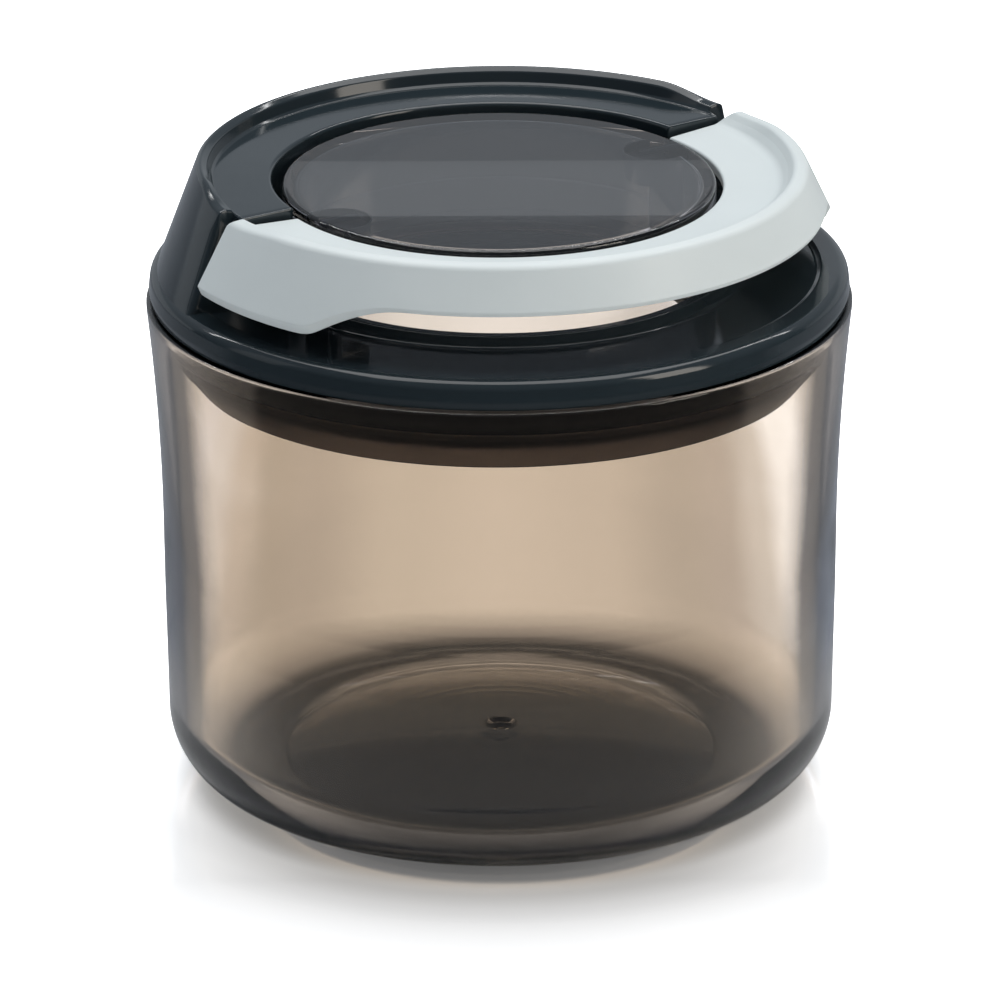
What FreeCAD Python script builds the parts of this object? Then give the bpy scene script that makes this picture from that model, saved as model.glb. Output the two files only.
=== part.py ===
import FreeCAD, Part
import os
import math
import Sketcher

# Round canister with a lift-out lid. The lid carries a flip lever that pulls a
# clear plunger up and squeezes a silicone ring against the jar wall.
# Frame: origin on the floor under the jar axis, +Z up, pivot axis along X,
# lever on the -Y side. Millimetres.

doc = FreeCAD.newDocument("canister")

# ----------------------------------------------------------------------------
# driving dimensions
# ----------------------------------------------------------------------------
DIMS = [
    # jar
    ("foot_recess_radius", 38.5), ("foot_recess_depth", 1.0), ("jar_floor", 4.4),
    ("corner_outer", 12.6), ("corner_inner", 10.0),
    ("wall_low_radius", 59.1), ("wall_mid_radius", 59.6), ("wall_mid_height", 43.3),
    ("lip_radius", 62.0), ("lip_height", 87.2), ("rim_top", 88.5), ("lip_round", 1.3),
    ("flare_radius", 410.0), ("mouth_radius", 57.6), ("mouth_round", 1.0),
    ("bore_mid_radius", 57.0), ("bore_mid_height", 62.0), ("bore_low_radius", 56.3),
    ("recess_rise", 3.2), ("dome_radius", 39.0), ("dome_rise", 3.18), ("dimple_radius", 3.07),
    ("dimple_depth", 1.38),
    # lid base ring
    ("guide_radius", 38.9), ("base_ring_radius", 56.9), ("base_ring_bottom", 87.05),
    ("base_ring_top", 88.95),
    # lid cover, lower ring
    ("cover_bottom", 89.0), ("cover_seat", 88.75), ("cover_edge_radius", 61.05),
    ("cover_side_radius", 61.5), ("cover_side_height", 90.5), ("bullnose_crest_radius", 57.3),
    ("bullnose_top", 93.9), ("bullnose_inner_radius", 55.4), ("bullnose_curve", 3.6),
    ("seat_roof", 91.0), ("dish_floor", 93.4), ("dish_inner", 43.4), ("dish_curve", 3.0),
    ("collar_outer", 41.2), ("collar_top", 95.1), ("collar_round", 0.8),
    ("core_inner", 43.5), ("core_outer", 55.4), ("core_roof", 91.2),
    # lid cover, rear hood
    ("hood_cut", 7.4), ("hood_wall", 2.0), ("hood_inner", 39.7), ("deck_top", 110.5),
    ("deck_edge_round", 0.7), ("rim_foot_radius", 50.4), ("rim_crest_radius", 51.9),
    ("rim_crest_top", 113.4), ("rim_round", 1.55), ("cone_top_radius", 53.45),
    ("cone_top_height", 111.6), ("cone_low_height", 92.0), ("cone_slope", 0.376),
    ("tongue_front", 4.75), ("tongue_under", 5.1), ("tongue_depth", 2.1), ("tongue_reach", 50.3),
    ("rim_end_top", 111.45), ("rim_fall_start", 21.0),
    ("pad_inner", 39.8), ("pad_outer", 44.8), ("pad_top", 95.6), ("pad_front", 5.0),
    # seal ring
    ("seal_inner", 50.2), ("seal_body", 56.3), ("seal_outer", 57.2), ("seal_bottom", 83.4),
    ("seal_top", 87.0),
    # window cup
    ("cup_radius", 38.1), ("cup_wall", 2.1), ("window_top", 109.4), ("window_thick", 2.6),
    ("window_round", 0.9), ("cup_flange_radius", 45.0), ("cup_flange_top", 85.3),
    ("cup_flange_bottom", 83.35), ("lug_radius", 5.6), ("lug_centre", 33.4),
    ("lug_bottom", 101.6), ("lug_top", 107.6), ("lug_trim", 37.2),
    # press plate
    ("plate_bore", 36.0), ("plate_radius", 56.4), ("plate_top", 83.3), ("plate_edge", 82.15),
    ("plate_under", 81.05), ("skirt_radius", 51.4), ("skirt_bottom", 75.8), ("skirt_wall", 2.0),
    # flip lever
    ("lever_inner", 39.2), ("lever_deck", 108.8), ("lever_deck_rise", 0.6), ("lever_foot", 47.8),
    ("lever_thick", 2.3), ("ridge_radius", 52.1), ("ridge_top", 112.4), ("ridge_round", 1.6),
    ("skirt_top_radius", 54.45), ("skirt_top_height", 111.0), ("skirt_thick", 2.4), ("skirt_slope", 0.47),
    ("ear_depth", 98.1), ("ear_edge", 99.75), ("front_edge", 104.9), ("arch_start", 36.4),
    ("arch_radius", 22.4), ("arch_end", 23.4), ("arch_drop", 4.1), ("ear_tip", 22.0),
    ("tail_low", 5.0), ("tail_mid", 4.2), ("tail_mid_height", 108.4), ("tail_arc", 5.65),
    ("tail_high", 2.0), ("tail_high_height", 111.75), ("crest_fall", 9.0), ("lobe_radius", 6.8),
    ("lobe_offset", 3.0), ("lobe_inner", 39.4), ("lobe_outer", 44.4), ("lobe_top", 107.4),
    # pivot pins
    ("pivot_height", 106.5), ("pin_radius", 1.3), ("pin_inner", 29.8), ("pin_outer", 43.6),
    ("pin_clearance", 0.03), ("far", 90.0),
]
sheet = doc.addObject("Spreadsheet::Sheet", "Dims")
VALUES = {}
for row, (alias, number) in enumerate(DIMS, start=1):
    sheet.set("A%d" % row, alias)
    sheet.set("B%d" % row, str(number))
    sheet.setAlias("B%d" % row, alias)
    VALUES[alias] = float(number)
doc.recompute()


class Q:
    """A length with its value and the sheet expression it comes from."""

    def __init__(self, value, text):
        self.value = float(value)
        self.text = text

    def __add__(self, other):
        o = q(other)
        return Q(self.value + o.value, "(%s + %s)" % (self.text, o.text))

    def __sub__(self, other):
        o = q(other)
        return Q(self.value - o.value, "(%s - %s)" % (self.text, o.text))

    def __mul__(self, other):
        o = q(other)
        return Q(self.value * o.value, "(%s * %s)" % (self.text, o.text))

    def __truediv__(self, other):
        o = q(other)
        return Q(self.value / o.value, "(%s / %s)" % (self.text, o.text))

    def __neg__(self):
        return Q(-self.value, "(0 - %s)" % self.text)

    def __radd__(self, other):
        return q(other) + self

    def __rsub__(self, other):
        return q(other) - self


def q(number):
    if isinstance(number, Q):
        return number
    return Q(number, repr(float(number)))


def d(alias):
    return Q(VALUES[alias], "Dims.%s" % alias)


def plane(body, role):
    for feature in body.Origin.OriginFeatures:
        if feature.Role == role:
            return feature
    raise RuntimeError("no origin plane " + role)


def arc_edge(a, b, radius, ccw):
    """Short arc from a to b with the given radius; returns the edge and its end order."""
    dx, dy = b[0] - a[0], b[1] - a[1]
    chord = math.hypot(dx, dy)
    rise = math.sqrt(max(radius * radius - chord * chord / 4.0, 0.0))
    side = 1.0 if ccw else -1.0
    cx = (a[0] + b[0]) / 2.0 - side * rise * dy / chord
    cy = (a[1] + b[1]) / 2.0 + side * rise * dx / chord
    t0 = math.atan2(a[1] - cy, a[0] - cx)
    t1 = math.atan2(b[1] - cy, b[0] - cx)
    circle = Part.Circle(FreeCAD.Vector(cx, cy, 0), FreeCAD.Vector(0, 0, 1), radius)
    if ccw:
        while t1 < t0:
            t1 += 2 * math.pi
        return Part.ArcOfCircle(circle, t0, t1), (1, 2)
    while t0 < t1:
        t0 += 2 * math.pi
    return Part.ArcOfCircle(circle, t1, t0), (2, 1)


def profile(body, role, name, points):
    """Closed, fully dimensioned outline. Each point is (x, y, kind); kind None is a
    straight edge to the next point, (radius, ccw) an arc to it."""
    sk = body.newObject("Sketcher::SketchObject", name)
    sk.AttachmentSupport = [(plane(body, role), "")]
    sk.MapMode = "FlatFace"
    pts = [(q(p[0]), q(p[1]), p[2]) for p in points]
    n = len(pts)
    ends = []
    for i in range(n):
        a, b = pts[i], pts[(i + 1) % n]
        av, bv = (a[0].value, a[1].value), (b[0].value, b[1].value)
        if a[2] is None:
            sk.addGeometry(Part.LineSegment(FreeCAD.Vector(av[0], av[1], 0),
                                            FreeCAD.Vector(bv[0], bv[1], 0)), False)
            ends.append((1, 2))
        else:
            edge, order = arc_edge(av, bv, q(a[2][0]).value, a[2][1])
            sk.addGeometry(edge, False)
            ends.append(order)
    for i in range(n):
        j = (i + 1) % n
        sk.addConstraint(Sketcher.Constraint("Coincident", i, ends[i][1], j, ends[j][0]))
    for i in range(n):
        px, py = pts[i][0], pts[i][1]
        if abs(px.value) < 1e-9:
            sk.addConstraint(Sketcher.Constraint("PointOnObject", i, ends[i][0], -2))
        else:
            k = sk.addConstraint(Sketcher.Constraint("DistanceX", -1, 1, i, ends[i][0], px.value))
            sk.setExpression("Constraints[%d]" % k, px.text)
        if abs(py.value) < 1e-9:
            sk.addConstraint(Sketcher.Constraint("PointOnObject", i, ends[i][0], -1))
        else:
            k = sk.addConstraint(Sketcher.Constraint("DistanceY", -1, 1, i, ends[i][0], py.value))
            sk.setExpression("Constraints[%d]" % k, py.text)
        if pts[i][2] is not None:
            radius = q(pts[i][2][0])
            k = sk.addConstraint(Sketcher.Constraint("Radius", i, radius.value))
            sk.setExpression("Constraints[%d]" % k, radius.text)
    return sk


def turned(name, label, points):
    """A body of revolution about Z from an outline in the XZ plane."""
    body = doc.addObject("PartDesign::Body", name)
    body.Label = label
    sk = profile(body, "XZ_Plane", name + "_outline", points)
    rev = body.newObject("PartDesign::Revolution", name + "_turn")
    rev.Profile = sk
    rev.ReferenceAxis = (sk, ["V_Axis"])
    rev.Angle = 360
    body.Tip = rev
    return body


def block(name, x0, x1, y0, y1, z0, z1):
    box = doc.addObject("Part::Box", name)
    for prop, lo, hi in (("Length", x0, x1), ("Width", y0, y1), ("Height", z0, z1)):
        size = q(hi) - q(lo)
        setattr(box, prop, size.value)
        box.setExpression(prop, size.text)
    for axis, lo in (("x", x0), ("y", y0), ("z", z0)):
        box.setExpression("Placement.Base." + axis, q(lo).text)
    return box


def rod(name, radius, length, base, along_x=False):
    cyl = doc.addObject("Part::Cylinder", name)
    cyl.setExpression("Radius", q(radius).text)
    cyl.setExpression("Height", q(length).text)
    if along_x:
        cyl.Placement = FreeCAD.Placement(FreeCAD.Vector(0, 0, 0),
                                          FreeCAD.Rotation(FreeCAD.Vector(0, 1, 0), 90))
    for axis, value in zip("xyz", base):
        cyl.setExpression("Placement.Base." + axis, q(value).text)
    return cyl


def fuse(name, label, shapes):
    f = doc.addObject("Part::MultiFuse", name)
    f.Shapes = shapes
    f.Refine = True
    f.Label = label
    return f


def cut(name, label, base, tool):
    c = doc.addObject("Part::Cut", name)
    c.Base = base
    c.Tool = tool
    c.Refine = True
    c.Label = label
    return c


def common(name, a, b):
    c = doc.addObject("Part::MultiCommon", name)
    c.Shapes = [a, b]
    return c


FAR = d("far")

# ----------------------------------------------------------------------------
# jar: one turned shell, rounded foot, flared lip, domed floor with a gate dimple
# ----------------------------------------------------------------------------
foot = d("wall_low_radius") - d("corner_outer")


def root(number):
    return Q(math.sqrt(number.value), "sqrt(%s)" % number.text)


def cap_curve(reach, rise):
    """Radius of the ball whose cap has this reach and rise, centred on the axis."""
    return (reach * reach + rise * rise) / (rise * 2.0)


# the domed floor is a ball centred on the axis, through its foot and the dimple's edge
dome_drop = (d("dome_radius") * d("dome_radius") - d("dimple_radius") * d("dimple_radius")
             - d("dome_rise") * d("dome_rise")) / (d("dome_rise") * 2.0)
dome_curve = root(d("dome_radius") * d("dome_radius") + dome_drop * dome_drop)
recess_reach = d("foot_recess_radius") - 0.7
jar = turned("Jar", "jar", [
    (0, d("foot_recess_depth") + d("recess_rise"), (cap_curve(recess_reach, d("recess_rise")), False)),
    (recess_reach, d("foot_recess_depth"), None),
    (d("foot_recess_radius"), 0.0, None),
    (foot, 0.0, (d("corner_outer"), True)),
    (d("wall_low_radius"), d("corner_outer"), None),
    (d("wall_mid_radius"), d("wall_mid_height"), (d("flare_radius"), False)),
    (d("lip_radius"), d("lip_height"), (d("lip_round"), True)),
    (d("lip_radius") - d("lip_round"), d("rim_top"), None),
    (d("mouth_radius") + d("mouth_round"), d("rim_top"), (d("mouth_round"), True)),
    (d("mouth_radius"), d("rim_top") - d("mouth_round"), None),
    (d("bore_mid_radius"), d("bore_mid_height"), None),
    (d("bore_low_radius"), d("jar_floor") + d("corner_inner"), (d("corner_inner"), False)),
    (d("bore_low_radius") - d("corner_inner"), d("jar_floor"), None),
    (d("dome_radius"), d("jar_floor"), (dome_curve, True)),
    (d("dimple_radius"), d("jar_floor") + d("dome_rise"), (cap_curve(d("dimple_radius"), d("dimple_depth")), False)),
    (0, d("jar_floor") + d("dome_rise") - d("dimple_depth"), None),
])

# ----------------------------------------------------------------------------
# lid base ring: flat annular plate that closes the cover from below
# ----------------------------------------------------------------------------
base_ring = turned("BaseRing", "lid_base_ring", [
    (d("guide_radius"), d("base_ring_bottom"), None),
    (d("base_ring_radius") - 0.6, d("base_ring_bottom"), None),
    (d("base_ring_radius"), d("base_ring_bottom") + 0.6, None),
    (d("base_ring_radius"), d("base_ring_top"), None),
    (d("guide_radius"), d("base_ring_top"), None),
])

# ----------------------------------------------------------------------------
# lid cover: bullnose ring, shallow dish and collar all round; raised hollow hood behind
# ----------------------------------------------------------------------------
cover_ring = turned("CoverRing", "cover_ring", [
    (d("guide_radius"), d("cover_bottom"), None),
    (d("core_inner"), d("cover_bottom"), None),
    (d("core_inner"), d("core_roof"), None),
    (d("core_outer"), d("core_roof"), None),
    (d("core_outer"), d("cover_bottom"), None),
    (d("base_ring_radius") + 0.2, d("cover_bottom"), None),
    (d("base_ring_radius") + 0.2, d("seat_roof"), None),
    (d("base_ring_radius") + 1.7, d("seat_roof"), None),
    (d("base_ring_radius") + 1.9, d("cover_seat"), None),
    (d("cover_edge_radius"), d("cover_seat"), None),
    (d("cover_side_radius"), d("cover_side_height"), (d("bullnose_curve"), True)),
    (d("bullnose_crest_radius"), d("bullnose_top"), (d("bullnose_curve"), True)),
    (d("bullnose_inner_radius"), d("dish_floor"), None),
    (d("dish_inner"), d("dish_floor"), (d("dish_curve"), False)),
    (d("collar_outer"), d("collar_top") - d("collar_round"), (d("collar_round"), True)),
    (d("collar_outer") - d("collar_round"), d("collar_top"), None),
    (d("guide_radius") + d("collar_round"), d("collar_top"), (d("collar_round"), True)),
    (d("guide_radius"), d("collar_top") - d("collar_round"), None),
])

cone_low = d("cone_top_radius") + (d("cone_top_height") - d("cone_low_height")) * d("cone_slope")
hood_solid = turned("HoodSolid", "hood_solid", [
    (d("hood_inner"), d("seat_roof") - 0.8, None),
    (cone_low - 0.6, d("seat_roof") - 0.8, None),
    (cone_low, d("cone_low_height"), None),
    (d("cone_top_radius"), d("cone_top_height"), (d("rim_round") + 0.6, True)),
    (d("rim_crest_radius"), d("rim_crest_top"), (d("rim_round"), True)),
    (d("rim_foot_radius") + 0.25, d("rim_crest_top") - 1.15, None),
    (d("rim_foot_radius"), d("deck_top") + 0.35, None),
    (d("rim_foot_radius") - 0.5, d("deck_top"), None),
    (d("hood_inner") + d("deck_edge_round"), d("deck_top"), (d("deck_edge_round"), True)),
    (d("hood_inner"), d("deck_top") - d("deck_edge_round"), None),
])
wall = d("hood_wall")
hood_core = turned("HoodCore", "hood_core", [
    (d("hood_inner") + wall, d("cover_bottom") - 0.5, None),
    (d("base_ring_radius") + 0.2, d("cover_bottom") - 0.5, None),
    (d("base_ring_radius") + 0.2, d("cone_low_height"), None),
    (cone_low - wall * 1.1, d("cone_low_height") + 0.6, None),
    (d("cone_top_radius") - wall * 1.0, d("cone_top_height") - 0.9, None),
    (d("rim_foot_radius") - 0.4, d("deck_top") - wall, None),
    (d("hood_inner") + wall, d("deck_top") - wall, None),
])
rear_half = block("RearHalf", -FAR, FAR, d("hood_cut"), FAR, 0, FAR + FAR)
core_half = block("CoreHalf", -FAR, FAR, d("hood_cut") + wall, FAR, 0, FAR + FAR)
rear_hood = common("RearHood", hood_solid, rear_half)
rim_side = doc.addObject("PartDesign::Body", "RimSide")
rim_side.Label = "rim_side"
rim_outline = profile(rim_side, "YZ_Plane", "RimSide_outline", [
    (0, d("rim_end_top"), None),
    (d("hood_cut") + 2.0, d("rim_end_top"), None),
    (d("rim_fall_start"), d("rim_crest_top") + 0.3, None),
    (d("rim_fall_start"), FAR + FAR, None),
    (0, FAR + FAR, None),
])
rim_pad = rim_side.newObject("PartDesign::Pad", "RimSide_pad")
rim_pad.Profile = rim_outline
rim_pad.Midplane = True
rim_pad.Length = 2 * FAR.value
rim_pad.setExpression("Length", (FAR + FAR).text)
rim_side.Tip = rim_pad
low_hood = cut("LowHood", "low_hood", rear_hood, rim_side)
tongue_turn = turned("TongueTurn", "tongue_turn", [
    (d("hood_inner"), d("deck_top") - d("tongue_depth"), None),
    (d("tongue_reach") - 0.5, d("deck_top") - d("tongue_depth"), None),
    (d("tongue_reach") - 0.5, d("deck_top"), None),
    (d("hood_inner") + d("deck_edge_round"), d("deck_top"), (d("deck_edge_round"), True)),
    (d("hood_inner"), d("deck_top") - d("deck_edge_round"), None),
])
tongue_side = doc.addObject("PartDesign::Body", "TongueSide")
tongue_side.Label = "tongue_side"
tongue_outline = profile(tongue_side, "YZ_Plane", "TongueSide_outline", [
    (d("tongue_under"), d("deck_top") - d("tongue_depth") - 1.0, None),
    (d("hood_cut") + 2.0, d("deck_top") - d("tongue_depth") - 1.0, None),
    (d("hood_cut") + 2.0, d("deck_top") + 1.0, None),
    (d("tongue_front"), d("deck_top") + 1.0, None),
    (d("tongue_front"), d("deck_top") - 0.1, None),
    (d("tongue_under"), d("deck_top") - d("tongue_depth"), None),
])
tongue_pad = tongue_side.newObject("PartDesign::Pad", "TongueSide_pad")
tongue_pad.Profile = tongue_outline
tongue_pad.Midplane = True
tongue_pad.Length = 2 * FAR.value
tongue_pad.setExpression("Length", (FAR + FAR).text)
tongue_side.Tip = tongue_pad
tongues = common("Tongues", tongue_turn, tongue_side)
half_hood = fuse("HalfHood", "half_hood", [low_hood, tongues])
half_core = common("HalfCore", hood_core, core_half)
pads = []
for side, name in ((-1, "PadLeft"), (1, "PadRight")):
    lo, hi = d("pad_inner"), d("pad_outer")
    if side < 0:
        lo, hi = -d("pad_outer"), -d("pad_inner")
    pads.append(block(name, lo, hi, -d("pad_front"), d("hood_cut") + 0.5,
                      d("dish_floor") - 0.5, d("pad_top")))
cover_body = fuse("CoverBody", "cover_body", [cover_ring, half_hood] + pads)
lid_cover = cut("LidCover", "lid_cover", cover_body, half_core)

# ----------------------------------------------------------------------------
# silicone seal ring, bulged outwards
# ----------------------------------------------------------------------------
bulge = d("seal_outer") - d("seal_body")
half_height = (d("seal_top") - d("seal_bottom")) / 2.0
bulge_radius = (half_height * half_height + bulge * bulge) / (bulge * 2.0)
seal_ring = turned("SealRing", "seal_ring", [
    (d("seal_inner") + 0.5, d("seal_bottom"), None),
    (d("seal_body"), d("seal_bottom"), (bulge_radius, True)),
    (d("seal_body"), d("seal_top"), None),
    (d("seal_inner") + 0.5, d("seal_top"), None),
    (d("seal_inner"), d("seal_top") - 0.6, None),
    (d("seal_inner"), d("seal_bottom") + 0.6, None),
])

# ----------------------------------------------------------------------------
# window cup: disc, wall and foot flange, with a solid lug at each pivot
# ----------------------------------------------------------------------------
ceiling = d("window_top") - d("window_thick")
bore = d("cup_radius") - d("cup_wall")
cup_shell = turned("CupShell", "cup_shell", [
    (0, ceiling, None),
    (bore - 1.2, ceiling, (1.2, False)),
    (bore, ceiling - 1.2, None),
    (bore, d("cup_flange_bottom"), None),
    (d("cup_flange_radius"), d("cup_flange_bottom"), None),
    (d("cup_flange_radius"), d("cup_flange_top"), None),
    (d("cup_radius") + 0.8, d("cup_flange_top"), (0.8, False)),
    (d("cup_radius"), d("cup_flange_top") + 0.8, None),
    (d("cup_radius"), d("window_top") - d("window_round"), (d("window_round"), True)),
    (d("cup_radius") - d("window_round"), d("window_top"), None),
    (0, d("window_top"), None),
])
lug_stock = [rod("LugLeft", d("lug_radius"), d("lug_top") - d("lug_bottom"),
                 (-d("lug_centre"), 0, d("lug_bottom"))),
             rod("LugRight", d("lug_radius"), d("lug_top") - d("lug_bottom"),
                 (d("lug_centre"), 0, d("lug_bottom")))]
lug_trim = rod("LugTrim", d("lug_trim"), FAR + FAR, (0, 0, 0))
lugs = common("Lugs", fuse("LugPair", "lug_pair", lug_stock), lug_trim)
cup_blank = fuse("CupBlank", "cup_blank", [cup_shell, lugs])
hole_r = d("pin_radius") + d("pin_clearance")
cup_holes = fuse("CupHoles", "cup_holes", [
    rod("CupHoleRight", hole_r, FAR, (d("pin_inner"), 0, d("pivot_height")), True),
    rod("CupHoleLeft", hole_r, FAR, (-FAR - d("pin_inner"), 0, d("pivot_height")), True)])
window_cup = cut("WindowCup", "window_cup", cup_blank, cup_holes)

# ----------------------------------------------------------------------------
# press plate with tapered guide skirt
# ----------------------------------------------------------------------------
press_plate = turned("PressPlate", "press_plate", [
    (d("plate_bore"), d("plate_under"), None),
    (d("plate_radius") - 3.4, d("plate_under"), None),
    (d("skirt_radius") - d("skirt_wall"), d("skirt_bottom"), None),
    (d("skirt_radius") - 0.5, d("skirt_bottom"), (0.5, True)),
    (d("skirt_radius"), d("skirt_bottom") + 0.5, None),
    (d("plate_radius"), d("plate_edge"), None),
    (d("plate_radius"), d("plate_top") - 0.4, None),
    (d("plate_radius") - 0.4, d("plate_top"), None),
    (d("plate_bore"), d("plate_top"), None),
])

# ----------------------------------------------------------------------------
# flip lever: turned section (deck, ridge, skirt) kept inside a side outline with
# an arched front edge, deep ears and slanted tails, plus two eccentric cam lobes
# ----------------------------------------------------------------------------
slope = d("skirt_slope")
ear_radius = d("skirt_top_radius") + (d("skirt_top_height") - d("ear_depth")) * slope
lever_turn = turned("LeverTurn", "lever_turn", [
    (d("lever_inner") + 0.4, d("lever_deck") - d("lever_thick"), None),
    (d("lever_foot"), d("lever_deck") - d("lever_thick") + 0.3, None),
    (d("skirt_top_radius") - d("skirt_thick") * 1.05, d("skirt_top_height") - 1.6, None),
    (ear_radius - d("skirt_thick"), d("ear_depth"), None),
    (ear_radius - 0.9, d("ear_depth"), None),
    (ear_radius - slope * 1.6, d("ear_depth") + 1.6, None),
    (d("skirt_top_radius"), d("skirt_top_height"), (d("ridge_round") + 0.7, True)),
    (d("ridge_radius"), d("ridge_top"), (d("ridge_round"), True)),
    (d("ridge_radius") - 1.5, d("ridge_top") - 1.35, None),
    (d("ridge_radius") - 2.0, d("lever_deck") + d("lever_deck_rise") + 1.05, (3.0, False)),
    (d("lever_foot"), d("lever_deck") + d("lever_deck_rise"), None),
    (d("lever_inner") + 0.4, d("lever_deck"), None),
    (d("lever_inner"), d("lever_deck") - 0.4, None),
    (d("lever_inner"), d("lever_deck") - d("lever_thick") + 0.4, None),
])
side = doc.addObject("PartDesign::Body", "LeverSide")
side.Label = "lever_side"
side_outline = profile(side, "YZ_Plane", "LeverSide_outline", [
    (-FAR, d("front_edge"), None),
    (-d("arch_start"), d("front_edge"), (d("arch_radius"), False)),
    (-d("arch_end"), d("front_edge") - d("arch_drop"), None),
    (-d("ear_tip"), d("ear_edge") - 1.4, None),
    (-d("ear_tip") + 1.2, d("ear_depth") + 0.05, None),
    (d("tail_low") - 1.4, d("ear_depth") + 0.35, (1.4, True)),
    (d("tail_low"), d("ear_depth") + 1.75, None),
    (d("tail_mid"), d("tail_mid_height"), (d("tail_arc"), True)),
    (d("tail_high"), d("tail_high_height"), None),
    (-d("crest_fall"), d("ridge_top") + 0.2, None),
    (-FAR, d("ridge_top") + 0.2, None),
])
side_pad = side.newObject("PartDesign::Pad", "LeverSide_pad")
side_pad.Profile = side_outline
side_pad.Midplane = True
side_pad.Length = 2 * FAR.value
side_pad.setExpression("Length", (FAR + FAR).text)
side.Tip = side_pad
lever_shell = common("LeverShell", lever_turn, side)
lobe_z = d("pivot_height") - d("lobe_offset")
lobe_len = d("lobe_outer") - d("lobe_inner")
lobe_pair = fuse("LobePair", "lobe_pair", [
    rod("LobeRight", d("lobe_radius"), lobe_len, (d("lobe_inner"), 0, lobe_z), True),
    rod("LobeLeft", d("lobe_radius"), lobe_len, (-d("lobe_outer"), 0, lobe_z), True)])
lobe_trim = block("LobeTrim", -FAR, FAR, -FAR, FAR, 0, d("lobe_top"))
lobes = common("Lobes", lobe_pair, lobe_trim)
lever_blank = fuse("LeverBlank", "lever_blank", [lever_shell, lobes])
lever_hole = d("pin_radius") + 0.05
lever_holes = fuse("LeverHoles", "lever_holes", [
    rod("LeverHoleRight", lever_hole, d("pin_outer") + 0.3, (0, 0, d("pivot_height")), True),
    rod("LeverHoleLeft", lever_hole, d("pin_outer") + 0.3,
        (-d("pin_outer") - 0.3, 0, d("pivot_height")), True)])
flip_lever = cut("FlipLever", "flip_lever", lever_blank, lever_holes)

# ----------------------------------------------------------------------------
# pivot pins
# ----------------------------------------------------------------------------
pin_len = d("pin_outer") - d("pin_inner") - 0.06
right_pin = rod("RightPin", d("pin_radius"), pin_len,
                (d("pin_inner") + 0.03, 0, d("pivot_height")), True)
right_pin.Label = "right_pivot_pin"
left_pin = rod("LeftPin", d("pin_radius"), pin_len,
               (-d("pin_outer") + 0.03, 0, d("pivot_height")), True)
left_pin.Label = "left_pivot_pin"

doc.recompute()

# ----------------------------------------------------------------------------
# checks and files
# ----------------------------------------------------------------------------
bad = [o.Label for o in doc.Objects if "Invalid" in o.State or "Error" in o.State]
if bad:
    raise RuntimeError("failed objects: " + ", ".join(bad))
nodes = [jar, base_ring, lid_cover, seal_ring, window_cup, press_plate, flip_lever,
         left_pin, right_pin]
for node in nodes:
    shape = node.Shape
    if shape.isNull() or not shape.isValid():
        raise RuntimeError("bad shape: " + node.Label)
    if len(shape.Solids) != 1:
        raise RuntimeError("%s has %d solids" % (node.Label, len(shape.Solids)))
    print("%-18s %9.1f mm3  z %6.2f..%6.2f  x %6.2f..%6.2f" % (
        node.Label, shape.Volume, shape.BoundBox.ZMin, shape.BoundBox.ZMax,
        shape.BoundBox.XMin, shape.BoundBox.XMax))
os.makedirs("parts", exist_ok=True)
for node in nodes:
    node.Shape.exportStep("parts/%s.step" % node.Label)
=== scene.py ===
import math

import bmesh
import bpy
import numpy as np
from mathutils import Matrix, Vector
from mathutils.geometry import delaunay_2d_cdt


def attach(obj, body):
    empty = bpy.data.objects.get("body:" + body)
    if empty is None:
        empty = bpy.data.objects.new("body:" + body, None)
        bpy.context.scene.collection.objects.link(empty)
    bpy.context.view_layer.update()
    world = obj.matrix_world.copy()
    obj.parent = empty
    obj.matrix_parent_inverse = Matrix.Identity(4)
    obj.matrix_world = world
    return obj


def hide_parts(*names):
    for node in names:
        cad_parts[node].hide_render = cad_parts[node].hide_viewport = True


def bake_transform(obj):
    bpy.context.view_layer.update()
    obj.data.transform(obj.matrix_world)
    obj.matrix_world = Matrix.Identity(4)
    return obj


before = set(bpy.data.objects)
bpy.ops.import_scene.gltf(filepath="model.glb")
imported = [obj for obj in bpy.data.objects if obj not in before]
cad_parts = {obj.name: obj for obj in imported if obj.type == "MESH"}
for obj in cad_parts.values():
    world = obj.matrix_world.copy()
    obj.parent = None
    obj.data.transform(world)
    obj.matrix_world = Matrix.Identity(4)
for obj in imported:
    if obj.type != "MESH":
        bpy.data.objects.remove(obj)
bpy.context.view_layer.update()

# Lengths in this script are in millimetres until a mesh is finished, then metres.
MM = 0.001
SEG = 288                      # facets round a full turn

# ----------------------------------------------------------------------------
# outlines
# ----------------------------------------------------------------------------


def rounded(points, closed=True):
    """Outline with rounded corners. Each point is (r, z, radius, steps)."""
    n = len(points)
    out = []
    for i, p in enumerate(points):
        x, y = p[0], p[1]
        rad = p[2] if len(p) > 2 else 0.0
        steps = p[3] if len(p) > 3 else 5
        if rad <= 0 or (not closed and i in (0, n - 1)):
            out.append((x, y))
            continue
        a = np.array(points[i - 1][:2], float)
        b = np.array((x, y), float)
        c = np.array(points[(i + 1) % n][:2], float)
        u, v = a - b, c - b
        lu, lv = np.linalg.norm(u), np.linalg.norm(v)
        u, v = u / lu, v / lv
        cosang = float(np.clip(u @ v, -1, 1))
        half = math.acos(cosang) / 2.0
        cut = min(rad / math.tan(half), 0.49 * lu, 0.49 * lv)
        r = cut * math.tan(half)
        centre = b + (u + v) / np.linalg.norm(u + v) * (r / math.sin(half))
        p0, p1 = b + u * cut, b + v * cut
        a0 = math.atan2(p0[1] - centre[1], p0[0] - centre[0])
        a1 = math.atan2(p1[1] - centre[1], p1[0] - centre[0])
        d = (a1 - a0 + math.pi) % (2 * math.pi) - math.pi
        for k in range(steps + 1):
            t = a0 + d * k / steps
            out.append((centre[0] + r * math.cos(t), centre[1] + r * math.sin(t)))
    return out


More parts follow.
